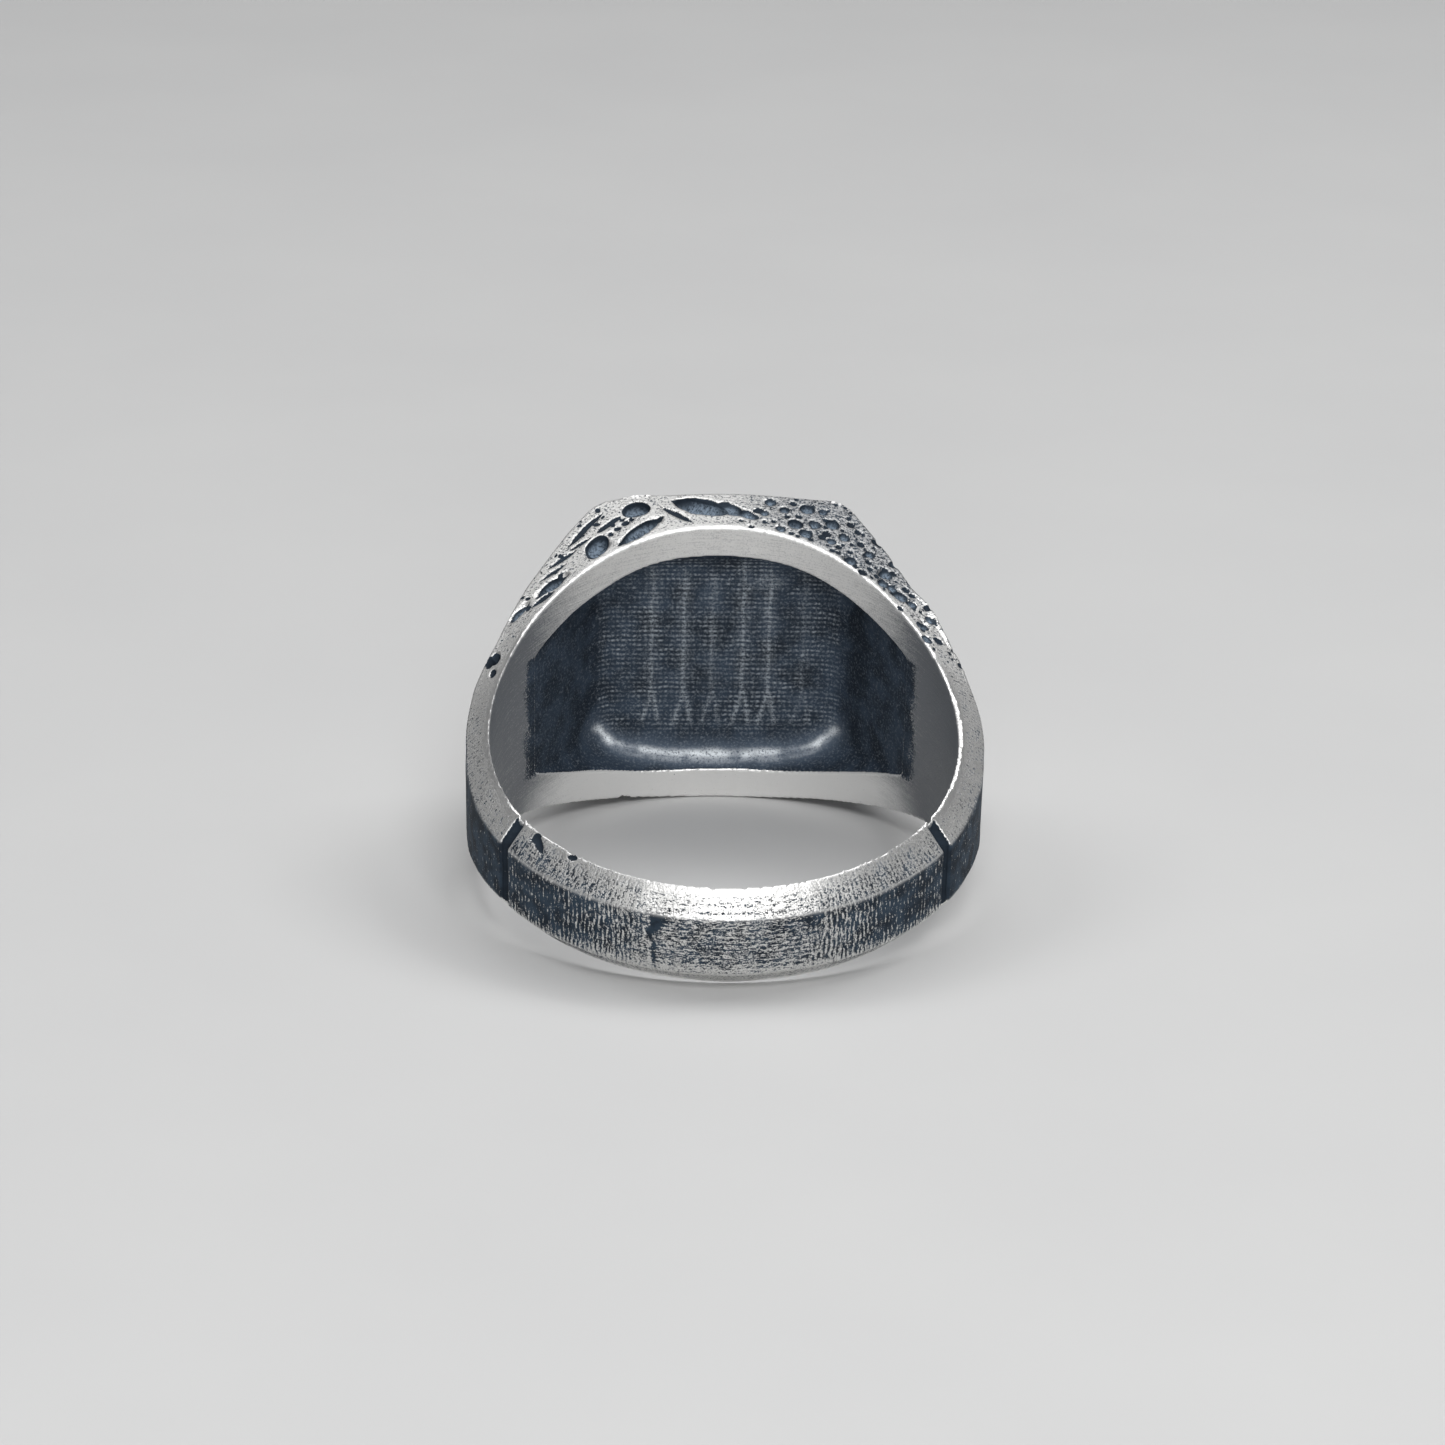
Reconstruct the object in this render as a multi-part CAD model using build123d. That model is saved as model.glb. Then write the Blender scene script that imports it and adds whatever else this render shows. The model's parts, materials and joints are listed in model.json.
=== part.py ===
from build123d import *
import math
import os

# A fabricated signet ring lying on its side, in millimetres.
# It is drawn upright in ring axes: X across the face, Y from the shank up to the face, Z along the
# finger.  The finished pieces are then laid down so that the head's bore rim and the shank's bore rim
# touch the ground plane.  Angles are measured round the finger from the middle of the face.

# finger hole
BORE_RADIUS = 9.9

# half width along the finger, on the bore edge
HEAD_HALF = 7.2
SHANK_HALF = 2.45
FLARE_POWER = 5.1

# bevel from the bore edge out to the back of the band, as axial drop per radial rise
BEVEL_SLOPE = 1.15
BEVEL_START = 15.0
BEVEL_FULL = 110.0

# outline seen along the finger
SHANK_RADIUS = 10.82
SIDE_RADIUS = 10.96
SIDE_BULGE = (10.74, 3.15)
SHOULDER_POINT = (9.88, 5.45)
SLOPE_BULGE = (7.87, 9.18)
TABLE_HALF = 5.5
TABLE_HEIGHT = 12.7
TABLE_CORNER = 1.3

# recess under the face
FLOOR_HEIGHT = 10.55
FLOOR_HALF = 5.5
RUNOUT_POINT = (8.3, 5.39)
WINDOW_EDGE = ((0.0, 5.65), (2.9, 5.5), (5.5, 4.65), (8.3, 2.9))

# joints
SHOULDER_ANGLE = 67.0
SHANK_ANGLE = 122.0
SHOULDER_SEAM = 0.10
SHANK_SEAM = 0.28
GROOVE_DEPTH = 0.22
PLATE_SEAM = 0.06
BEAD_SIZE = 0.3

# round pits in the head's flanks: X, Y, radius and depth
PITS = (
    (-3.7, 11.7, 0.52, 0.22),
    (-5.4, 9.5, 0.52, 0.22),
    (0.8, 11.2, 0.34, 0.14),
    (2.8, 11.6, 0.22, 0.10),
    (3.8, 11.8, 0.30, 0.13),
    (3.3, 10.6, 0.32, 0.13),
    (4.9, 11.0, 0.30, 0.13),
    (5.5, 8.8, 0.27, 0.12),
    (7.1, 8.5, 0.30, 0.13),
    (7.8, 7.4, 0.30, 0.13),
    (8.7, 6.0, 0.26, 0.11),
)

# long gouges in the head's flanks: X, Y, length, radius, depth and turn from the X axis
GOUGES = (
    (-0.85, 11.6, 2.4, 0.38, 0.22, -24.0),
    (-3.5, 10.1, 2.4, 0.28, 0.18, 41.0),
    (-7.35, 7.75, 1.8, 0.28, 0.18, 34.0),
    (-8.75, 6.8, 1.2, 0.22, 0.14, 42.0),
)

# sampling of the loft, spare stock on the bore side and outside of it, half the radial thickness
# of the band, and a size larger than the ring
SECTION_STEP = 7.0
SKIN = 0.8
OUTER_SKIN = 0.5
HEAD_RISE = 3.3
BAND_MIDDLE = 0.5
CLEAR = 30.0


def head_share(angle):
    """1 in the middle of the head, falling to 0 at the back of the shank."""
    return abs(math.cos(math.radians(angle) / 2)) ** FLARE_POWER


def bore_half(angle):
    """Half width of the ring on the bore edge."""
    return SHANK_HALF + (HEAD_HALF - SHANK_HALF) * head_share(angle)


def bevel_slope(angle):
    """Axial drop per radial rise: none on the head, full on the shank."""
    from_head = min(abs(angle), 360 - abs(angle))
    t = (from_head - BEVEL_START) / (BEVEL_FULL - BEVEL_START)
    t = min(max(t, 0.0), 1.0)
    return BEVEL_SLOPE * t * t * (3 - 2 * t)


def section(angle, inset):
    """Radial section, a little deeper than the band on both the bore side and the outside."""
    slope = bevel_slope(angle)
    bore = bore_half(angle) - inset
    inner = BORE_RADIUS - SKIN
    outer = SHANK_RADIUS + OUTER_SKIN + HEAD_RISE * head_share(angle)
    half = [(r, bore - slope * (r - BORE_RADIUS)) for r in (inner, outer)]
    outline = half + [(r, -w) for r, w in reversed(half)]
    a = math.radians(angle)
    plane = Plane(
        origin=(0, 0, 0),
        x_dir=(math.sin(a), math.cos(a), 0),
        z_dir=(math.cos(a), -math.sin(a), 0),
    )
    return plane * make_face(Polyline(*outline, close=True))


def front_outline(inset):
    """Face of the ring's outline seen along the finger."""
    side, shank = SIDE_RADIUS - inset, SHANK_RADIUS - inset
    shoulder = (SHOULDER_POINT[0] - inset, SHOULDER_POINT[1])
    lower = [(side, 0), (SIDE_BULGE[0] - inset, SIDE_BULGE[1]), shoulder]
    upper = [shoulder, SLOPE_BULGE, (TABLE_HALF, TABLE_HEIGHT)]
    edges = [
        ThreePointArc((-side, 0), (0, -shank), (side, 0)),
        ThreePointArc(*lower),
        ThreePointArc(*upper),
        Line((TABLE_HALF, TABLE_HEIGHT), (-TABLE_HALF, TABLE_HEIGHT)),
        ThreePointArc(*[(-x, y) for x, y in reversed(upper)]),
        ThreePointArc(*[(-x, y) for x, y in reversed(lower)]),
    ]
    face = make_face(edges)
    corners = face.vertices().sort_by(Axis.Y)[-2:]
    return fillet(corners, TABLE_CORNER)


def slab(face, half_depth):
    """Solid standing equally on both sides of the XY plane."""
    return extrude(face, amount=half_depth, both=True)


def band(start, end, inset=0.0):
    """Solid length of the ring between two angles, with the finger hole through it."""
    steps = max(1, math.ceil((end - start) / SECTION_STEP))
    angles = [start + (end - start) * i / steps for i in range(steps + 1)]
    solid = loft([section(angle, inset) for angle in angles])
    solid = solid & slab(front_outline(inset), CLEAR)
    return solid - Cylinder(BORE_RADIUS, CLEAR)


def window_face(inset):
    """Plan of the recess: X across, second axis along the finger."""
    half = [(x, z - inset) for x, z in WINDOW_EDGE]
    top = Spline(*[(-x, z) for x, z in reversed(half[1:])], *half)
    bottom = Spline(*[(-x, -z) for x, z in reversed(half[1:])], *[(x, -z) for x, z in half])
    x_end, z_end = half[-1]
    right = Line((x_end, z_end), (x_end, -z_end))
    left = Line((-x_end, z_end), (-x_end, -z_end))
    return make_face([top, right, bottom, left])


def window_block(low, high, inset=0.0):
    """The recess plan raised between two heights."""
    plane = Plane(origin=(0, low, 0), x_dir=(1, 0, 0), z_dir=(0, 1, 0))
    return extrude(plane * window_face(inset), amount=high - low)


def recess_profile(top):
    """Cross-section of the recess: a flat floor and two slopes that run out into the bore."""
    rise = (top - RUNOUT_POINT[1]) / (FLOOR_HEIGHT - RUNOUT_POINT[1])
    x_top = RUNOUT_POINT[0] + (FLOOR_HALF - RUNOUT_POINT[0]) * rise
    half = [(x_top, top), RUNOUT_POINT, (RUNOUT_POINT[0], 0)]
    outline = half + [(-x, y) for x, y in reversed(half)]
    return make_face(Polyline(*outline, close=True))


def recess(top, inset=0.0):
    return slab(recess_profile(top), HEAD_HALF) & window_block(0, top, inset)


def layer(low, high):
    """Everything between two heights."""
    return Pos(0, (low + high) / 2, 0) * Box(2 * CLEAR, high - low, 2 * CLEAR)


def plate_joint(head, low, high):
    """Solder sheet under the plate with a bead standing inside the recess below it."""
    bead = recess(low) & layer(low - BEAD_SIZE, low)
    sheet = head & layer(low, high)
    return (sheet + bead) - recess(high, BEAD_SIZE)


def seam_angle(width):
    """Half the angle that a joint of this width takes up in the middle of the band."""
    return math.degrees(width / 2 / (BORE_RADIUS + BAND_MIDDLE))


def seam(angle, width, inset=0.0):
    """Solder layer in a joint across the band."""
    half_angle = seam_angle(width)
    return band(angle - half_angle, angle + half_angle, inset)


def ball_radius(radius, depth):
    """Radius of the ball whose cap has this radius and depth."""
    return (radius ** 2 + depth ** 2) / (2 * depth)


def over_flank(x, y, height, side):
    """Point standing at a height over a flank of the head, square to the flank."""
    angle = math.atan2(x, y)
    slope = bevel_slope(math.degrees(angle))
    rise = math.hypot(x, y) - BORE_RADIUS
    z = bore_half(math.degrees(angle)) - slope * rise
    lean = math.atan(slope)
    out = height * math.sin(lean)
    return Vector(
        x + out * math.sin(angle),
        y + out * math.cos(angle),
        side * (z + height * math.cos(lean)),
    )


def pit(x, y, radius, depth, side):
    """Ball whose cap sinks into a flank."""
    ball = ball_radius(radius, depth)
    return Pos(over_flank(x, y, ball - depth, side)) * Sphere(ball)


def gouge(x, y, length, radius, depth, turn, side):
    """Round-ended bar lying in a flank."""
    ball = ball_radius(radius, depth)
    reach = length / 2 - radius
    dx, dy = reach * math.cos(math.radians(turn)), reach * math.sin(math.radians(turn))
    first = over_flank(x - dx, y - dy, ball - depth, side)
    last = over_flank(x + dx, y + dy, ball - depth, side)
    bar = Plane(origin=(first + last) / 2, z_dir=last - first) * Cylinder(ball, (last - first).length)
    return bar + Pos(first) * Sphere(ball) + Pos(last) * Sphere(ball)


def build():
    thin = seam_angle(SHOULDER_SEAM)
    wide = seam_angle(SHANK_SEAM)
    head = band(-SHOULDER_ANGLE + thin, SHOULDER_ANGLE - thin)
    frame_top = FLOOR_HEIGHT
    plate_bottom = FLOOR_HEIGHT + PLATE_SEAM

    hollows = [pit(*numbers, side) for numbers in PITS for side in (1, -1)]
    hollows += [gouge(*numbers, side) for numbers in GOUGES for side in (1, -1)]
    frame = head & layer(0, frame_top)
    frame = frame - recess(frame_top)
    seam_layer = plate_joint(head, frame_top, plate_bottom)
    plate = head & layer(plate_bottom, CLEAR)

    parts = {
        "face_plate": plate,
        "plate_solder": seam_layer,
        "head_frame": frame,
        "right_shoulder": band(SHOULDER_ANGLE + thin, SHANK_ANGLE - wide),
        "right_shoulder_solder": seam(SHOULDER_ANGLE, SHOULDER_SEAM),
        "right_shank_solder": seam(SHANK_ANGLE, SHANK_SEAM, GROOVE_DEPTH),
        "shank_back": band(SHANK_ANGLE + wide, 360 - SHANK_ANGLE - wide),
    }
    for name in ("face_plate", "plate_solder", "head_frame"):
        parts[name] = parts[name] - hollows
    for name in ("shoulder", "shoulder_solder", "shank_solder"):
        parts["left_" + name] = mirror(parts["right_" + name], about=Plane.YZ)
    return parts


def rest_tilt():
    """Lean that puts the head's and the shank's bore rims on one level."""
    return math.degrees(math.atan((HEAD_HALF - SHANK_HALF) / (2 * BORE_RADIUS)))


def lay_down(parts):
    tilted = {name: Rot(rest_tilt(), 0, 0) * part for name, part in parts.items()}
    boxes = [part.bounding_box() for part in tilted.values()]
    x_mid = (min(box.min.X for box in boxes) + max(box.max.X for box in boxes)) / 2
    y_mid = (min(box.min.Y for box in boxes) + max(box.max.Y for box in boxes)) / 2
    shift = Pos(-x_mid, -y_mid, -min(box.min.Z for box in boxes))
    return {name: shift * part for name, part in tilted.items()}


os.makedirs("parts", exist_ok=True)
for part_name, part_shape in lay_down(build()).items():
    export_step(part_shape, f"parts/{part_name}.step")
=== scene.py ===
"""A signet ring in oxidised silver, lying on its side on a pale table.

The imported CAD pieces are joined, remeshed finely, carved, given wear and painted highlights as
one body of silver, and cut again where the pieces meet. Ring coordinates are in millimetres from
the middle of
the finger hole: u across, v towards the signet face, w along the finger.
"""

import json
import math
from collections import namedtuple

import bmesh
import bpy
import numpy as np
from mathutils import Matrix, Vector

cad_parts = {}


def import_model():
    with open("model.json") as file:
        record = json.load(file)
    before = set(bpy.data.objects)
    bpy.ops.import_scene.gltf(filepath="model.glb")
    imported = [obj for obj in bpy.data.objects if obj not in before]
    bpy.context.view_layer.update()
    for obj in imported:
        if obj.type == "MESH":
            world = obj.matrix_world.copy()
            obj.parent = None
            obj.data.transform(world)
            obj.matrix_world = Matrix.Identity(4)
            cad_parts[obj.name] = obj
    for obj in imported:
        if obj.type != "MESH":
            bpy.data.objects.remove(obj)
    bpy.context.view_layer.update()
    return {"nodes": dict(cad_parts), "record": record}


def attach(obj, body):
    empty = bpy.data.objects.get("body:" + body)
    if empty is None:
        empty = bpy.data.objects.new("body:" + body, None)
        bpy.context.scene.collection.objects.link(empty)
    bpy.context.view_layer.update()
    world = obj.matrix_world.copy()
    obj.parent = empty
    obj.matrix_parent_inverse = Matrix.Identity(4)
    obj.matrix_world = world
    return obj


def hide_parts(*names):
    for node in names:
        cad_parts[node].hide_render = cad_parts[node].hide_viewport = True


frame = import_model()

MM = 0.001
record = frame["record"]
mounts = {mount["name"]: mount for mount in record["mounts"]}
CENTRE = np.array(mounts["finger_bore"]["pos_m"])
W_AXIS = np.array(mounts["finger_bore"]["axis"])
V_AXIS = np.array(mounts["signet_face"]["axis"])
U_AXIS = np.cross(V_AXIS, W_AXIS)
AXES = np.array([U_AXIS, V_AXIS, W_AXIS])
BORE = mounts["finger_bore"]["dims"]["r_mm"]

VOXEL = 0.07


# ---------------------------------------------------------------- ring coordinates


def to_ring(points):
    """Row-frame metres to ring millimetres."""
    return (np.asarray(points) - CENTRE) @ AXES.T / MM


def to_row(points):
    """Ring millimetres to row-frame metres."""
    return np.asarray(points) @ AXES * MM + CENTRE


def node_points(node):
    mesh = frame["nodes"][node].data
    points = np.empty(len(mesh.vertices) * 3, np.float32)
    mesh.vertices.foreach_get("co", points)
    return to_ring(points.reshape(-1, 3))


def step(low, high, value):
    """0 below low, 1 above high and a smooth rise between them."""
    t = np.clip((value - low) / (high - low), 0, 1)
    return t * t * (3 - 2 * t)


def mixed(share, first, second):
    """first where share is 0 and second where it is 1."""
    return first + (second - first) * share


LATTICE = 48  # side of the repeating block of random values behind the noise
NOISE_ORIGIN = 100  # keeps the ring on the positive side of the block


def value_noise(points, size, seed):
    """Smooth noise from 0 to 1 whose lumps are about size millimetres."""
    lattice = np.random.RandomState(seed).rand(LATTICE, LATTICE, LATTICE)
    scaled = points / size + NOISE_ORIGIN
    cell = np.floor(scaled).astype(int)
    part = scaled - cell
    part = part * part * (3 - 2 * part)
    total = np.zeros(len(points))
    for corner in np.ndindex(2, 2, 2):
        index = (cell + corner) % LATTICE
        share = np.prod(np.where(np.array(corner) == 1, part, 1 - part), axis=1)
        total += share * lattice[index[:, 0], index[:, 1], index[:, 2]]
    return total


# ---------------------------------------------------------------- the blank


class Surface:
    """Points, quads and edges of the closed silver surface, in ring millimetres."""

    def __init__(self, points, quads, edges):
        self.points, self.quads, self.edges = points, quads, edges
        self.valence = np.bincount(edges.ravel(), minlength=len(points))

    def around(self, values):
        """The mean of each point's neighbours."""
        values = values.reshape(len(self.points), -1)
        total = np.empty_like(values, float)
        first, second = self.edges.T
        for k in range(values.shape[1]):
            total[:, k] = np.bincount(
                first, values[second, k], len(values)
            ) + np.bincount(second, values[first, k], len(values))
        return total / self.valence[:, None]

    def relax(self, times, share):
        for _ in range(times):
            self.points += share * (self.around(self.points) - self.points)

    def relax_part(self, times, share, where):
        """Relaxes only the points whose where is above 0."""
        part = np.where(where > 0.001)[0]
        inside = np.zeros(len(self.points), bool)
        inside[part] = True
        edges = self.edges[inside[self.edges].any(axis=1)]
        used, edges = np.unique(edges, return_inverse=True)
        edges = edges.reshape(-1, 2)
        small = Surface(self.points[used], None, edges)
        weight = share * where[used][:, None]
        for _ in range(times):
            small.points += weight * (small.around(small.points) - small.points)
        self.points[used] = small.points

    def blur(self, values, times):
        for _ in range(times):
            values = (values + self.around(values)[:, 0]) / 2
        return values

    def normals(self):
        a, b, c, d = (self.points[self.quads[:, k]] for k in range(4))
        flat = np.cross(c - a, d - b)
        total = np.zeros_like(self.points)
        for k in range(4):
            for axis in range(3):
                total[:, axis] += np.bincount(
                    self.quads[:, k], flat[:, axis], len(self.points)
                )
        return total / np.linalg.norm(total, axis=1)[:, None]


def make_blank():
    """All the CAD pieces as one finely meshed closed surface."""
    points, faces, start = [], [], 0
    for name in sorted(frame["nodes"]):
        node = node_points(name)
        points.append(node)
        for polygon in frame["nodes"][name].data.polygons:
            faces.append([start + v for v in polygon.vertices])
        start += len(node)
    mesh = bpy.data.meshes.new("blank")
    mesh.from_pydata(np.concatenate(points).tolist(), [], faces)
    blank = bpy.data.objects.new("blank", mesh)
    bpy.context.scene.collection.objects.link(blank)
    remesh = blank.modifiers.new("remesh", "REMESH")
    remesh.mode = "VOXEL"
    remesh.voxel_size = VOXEL
    remesh.adaptivity = 0
    bpy.context.view_layer.update()
    fine = blank.evaluated_get(bpy.context.evaluated_depsgraph_get()).to_mesh()
    co = np.empty(len(fine.vertices) * 3)
    fine.vertices.foreach_get("co", co)
    quads = np.empty(len(fine.loops), int)
    fine.loops.foreach_get("vertex_index", quads)
    edges = np.empty(len(fine.edges) * 2, int)
    fine.edges.foreach_get("vertices", edges)
    bpy.data.objects.remove(blank)
    bpy.data.meshes.remove(mesh)
    return Surface(co.reshape(-1, 3), quads.reshape(-1, 4), edges.reshape(-1, 2))


# smoothing and nearly as much sharpening in turn takes off the steps of the remesh
SMOOTHING_ROUNDS, SMOOTH, SHARPEN = 12, 0.5, -0.52
ring = make_blank()
for _ in range(SMOOTHING_ROUNDS):
    ring.relax(1, SMOOTH)
    ring.relax(1, SHARPEN)

P = ring.points.copy()
N = ring.normals()
U, V, W = P.T
R = np.hypot(U, V)
PHI = np.degrees(np.arctan2(U, V))
FROM_HEAD = np.abs(PHI)
SIDE = np.sign(W)
N_OUT = (N[:, 0] * U + N[:, 1] * V) / R
N_FLANK = N[:, 2] * SIDE
ARC = np.arctan2(U, -V) * BORE

# half the ring's width at each point's angle, measured in bins
RIM_BIN = 3.0
bin_of = np.round(FROM_HEAD / RIM_BIN).astype(int)
rim_at = np.array([np.abs(W[bin_of == k]).max() for k in range(bin_of.max() + 1)])
RIM = np.interp(FROM_HEAD, np.arange(len(rim_at)) * RIM_BIN, rim_at)

# how much each point belongs to the hollow, the finger hole's wall, the flanks and the head
HOLLOW_MARGIN = 0.8  # least wall between the hollow and the rim
hollow = (
    (R > BORE + 0.05)
    & (V > 3)
    & (np.abs(W) < RIM - HOLLOW_MARGIN)
    & ((N_OUT < -0.2) | (N_FLANK < -0.3))
).astype(float)
in_hollow = hollow > 0.5
wall = (R < BORE + 0.12) & (N_OUT < -0.5) & (hollow < 0.5)
flank = step(0.35, 0.6, N_FLANK) * (hollow < 0.5)
outside = step(0.3, 0.7, N_OUT) * (hollow < 0.5)
head = step(72, 62, FROM_HEAD)
below_shoulder = step(90, 100, FROM_HEAD)
off_bore = step(BORE + 0.3, BORE + 0.6, R)


def lumps(size, seed, along=(1, 1, 1)):
    """Noise from -0.5 to 0.5 over the surface, even in a direction whose along is 0."""
    return value_noise(P * along, size, seed) - 0.5


def bump_at(u, v, reach):
    """1 on the line through (u, v) along the finger, fading out with reach."""
    return np.exp(-((U - u) ** 2 + (V - v) ** 2) / reach**2)


# ---------------------------------------------------------------- carving


# a cavity at least this wide has a lighter floor inside its dark outline: a painted sheen standing
# for light reflected from its floor
POOL_SIZE = 0.4


class Carving:
    """Cavities in the surface. Its arrays grow as cavities are added."""

    def __init__(self):
        self.depth = np.zeros(len(P))
        self.rim = np.zeros(len(P))
        self.dark = np.zeros(len(P))
        self.pool = np.zeros(len(P))
        self.rough = lumps(0.4, 11)

    def cut(self, centre, facing, along, length, width, depth, taper=0.0, ragged=0.09):
        """One cavity: length and width are whole sizes, and taper 1 gives pointed ends."""
        centre, facing, along = (
            np.asarray(x, float) for x in (centre, facing, along)
        )
        near = np.where(
            (np.abs(P - centre).max(axis=1) < length * 0.75 + 0.3)
            & (N @ facing > 0.1)
        )[0]
        if not len(near):
            return
        offset = P[near] - centre
        x = offset @ along / (length / 2)
        across = np.cross(facing, along)
        narrow = np.clip(1 - x * x, 0.02, 1) ** (taper * 0.6)
        y = offset @ across / (width / 2 * narrow)
        z = offset @ facing
        q = np.clip(np.sqrt(x * x + y * y) + ragged * self.rough[near] * 2, 0, None)
        q += 4 * np.clip(np.abs(z) - 0.45, 0, None)
        bowl = depth * np.clip(1 - q**2.4, 0, 1) ** 0.7
        self.depth[near] = np.maximum(self.depth[near], bowl)
        self.rim[near] = np.maximum(
            self.rim[near], depth * 0.03 * np.exp(-(((q - 1.15) / 0.13) ** 2))
        )
        self.dark[near] = np.maximum(self.dark[near], step(1.12, 0.94, q))
        if min(length, width) > POOL_SIZE:
            self.pool[near] = np.maximum(self.pool[near], step(0.85, 0.45, q))


carving = Carving()

# gouges in the upper flank: u, v, length, width, turn from u, depth and taper
GOUGES = (
    (-3.7, 11.7, 1.2, 1.1, 10, 0.28, 0),
    (-5.4, 9.5, 1.5, 0.95, 80, 0.28, 0),
    (-3.5, 10.1, 2.7, 0.74, 41, 0.24, 1),
    (-0.85, 11.6, 2.9, 1.25, -22, 0.28, 0.8),
    (0.45, 11.35, 1.1, 0.8, -35, 0.2, 0),
    (1.15, 11.0, 1.1, 0.55, -35, 0.16, 0),
    (1.65, 11.35, 0.5, 0.4, 20, 0.12, 0),
    (0.1, 11.75, 0.6, 0.4, 30, 0.12, 0),
    (-1.9, 11.0, 2.0, 0.3, -45, 0.15, 1),
    (-7.3, 7.75, 1.8, 0.66, 34, 0.18, 1),
    (-7.7, 7.0, 1.2, 0.3, 30, 0.11, 1),
    (-8.7, 6.8, 1.2, 0.42, 42, 0.13, 1),
    (-6.9, 9.3, 1.5, 0.24, 28, 0.1, 1),
    (-7.3, 8.6, 1.4, 0.2, 28, 0.09, 1),
    (-5.8, 11.1, 2.0, 0.28, 47, 0.1, 1),
    (-6.2, 10.5, 1.4, 0.2, 47, 0.09, 1),
    (-6.1, 10.0, 1.2, 0.18, 30, 0.08, 1),
    (-4.9, 10.9, 1.3, 0.3, 40, 0.08, 0),
)
# round pits in it: u, v and size
PITS = (
    (2.2, 12.1, 0.55),
    (2.8, 11.6, 0.42),
    (3.8, 11.85, 0.62),
    (1.9, 11.2, 0.42),
    (3.2, 12.15, 0.32),
    (3.25, 10.6, 0.66),
    (3.7, 10.0, 0.62),
    (2.6, 10.1, 0.44),
    (4.9, 11.05, 0.6),
    (5.4, 10.3, 0.5),
    (4.5, 11.8, 0.42),
    (4.1, 10.8, 0.55),
    (4.6, 10.25, 0.4),
    (4.8, 9.8, 0.44),
    (5.1, 9.5, 0.3),
    (4.4, 9.95, 0.34),
    (5.6, 8.75, 0.56),
    (5.6, 9.35, 0.24),
    (1.3, 10.05, 0.28),
    (6.1, 8.15, 0.4),
    (6.5, 9.6, 0.46),
    (7.15, 8.55, 0.6),
    (7.0, 7.85, 0.5),
    (7.4, 7.7, 0.42),
    (7.75, 7.4, 0.62),
    (7.7, 6.5, 0.28),
    (8.25, 7.15, 0.42),
    (8.65, 5.95, 0.55),
    (8.8, 5.1, 0.44),
    (9.3, 5.4, 0.4),
    (9.0, 6.6, 0.42),
    (6.1, 10.1, 0.36),
    (6.8, 10.6, 0.4),
    (8.0, 8.0, 0.34),
    (3.4, 11.2, 0.3),
    (2.3, 10.6, 0.24),
    (5.7, 11.3, 0.36),
    (1.9, 10.5, 0.24),
    (2.9, 11.1, 0.26),
    (0.9, 10.5, 0.2),
    (6.0, 10.9, 0.3),
    (6.4, 9.0, 0.3),
    (7.5, 8.8, 0.3),
    (8.3, 7.8, 0.28),
    (8.9, 7.3, 0.3),
    (-4.8, 10.2, 0.26),
    (-4.5, 10.5, 0.3),
    (-4.15, 10.8, 0.32),
    (-4.3, 11.1, 0.22),
    (-3.9, 11.0, 0.24),
    (-4.7, 10.8, 0.2),
)


def flank_height(u, v):
    """How high the upper flank is above (u, v)."""
    near = (W > 0) & (flank > 0.5)
    index = np.where(near)[0]
    gap = (P[index, 0] - u) ** 2 + (P[index, 1] - v) ** 2
    return P[index[np.argmin(gap)], 2]


def cut_flank(u, v, length, width, turn, depth, taper):
    """One cavity in the upper flank, its length turned from u by turn degrees."""
    turn = math.radians(turn)
    along = (math.cos(turn), math.sin(turn), 0)
    carving.cut((u, v, flank_height(u, v)), (0, 0, 1), along, length, width, depth, taper)


SHALLOW_FROM, SHALLOW = 7, 0.6
for row in GOUGES:
    cut_flank(*row)
for u, v, size in PITS:
    depth = 0.1 + 0.16 * size
    if u > SHALLOW_FROM:
        depth *= SHALLOW
    cut_flank(u, v, size, size, 0, depth, 0)

# the same kind of cavities, strewn over the rest of the head
STREW_SEED = 7
rng = np.random.RandomState(STREW_SEED)
FAR_OFF = 99  # where a rejected place is kept, so that it still counts as a try


def strew(tries, allowed, size_range, depth_share, taper, stretch):
    """Cavities at chance places, kept apart by their own size."""
    allowed = np.where(allowed)[0]
    placed = []
    while len(placed) < tries:
        index = allowed[rng.randint(len(allowed))]
        size = size_range[0] + (size_range[1] - size_range[0]) * rng.rand() ** 2
        turn = rng.rand() * math.tau
        centre, facing = P[index], N[index]
        if placed and min(
            np.linalg.norm(centre - other) - (size + reach) * 0.55
            for other, reach in placed
        ) < 0:
            placed.append((centre + FAR_OFF, 0))
            continue
        placed.append((centre, size))
        helper = np.cross(facing, (0.0, 0.0, 1.0) if abs(facing[2]) < 0.9 else (1.0, 0, 0))
        helper /= np.linalg.norm(helper)
        other = np.cross(facing, helper)
        along = helper * math.cos(turn) + other * math.sin(turn)
        carving.cut(
            centre, facing, along, size * stretch, size, depth_share * size, taper
        )


on_head = head > 0.6
gouged_side = U < 0.8
head_flank_area = (flank > 0.8) & (R > BORE + 0.25) & on_head
lower_flank = head_flank_area & (W < 0)
upper_flank = head_flank_area & (W > 0)
shell = (outside > 0.5) & on_head
gouged_shell = shell & gouged_side & (np.abs(W) < RIM - 1.0)
pitted_shell = shell & ~gouged_side & (np.abs(W) < RIM - 0.6)
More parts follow.
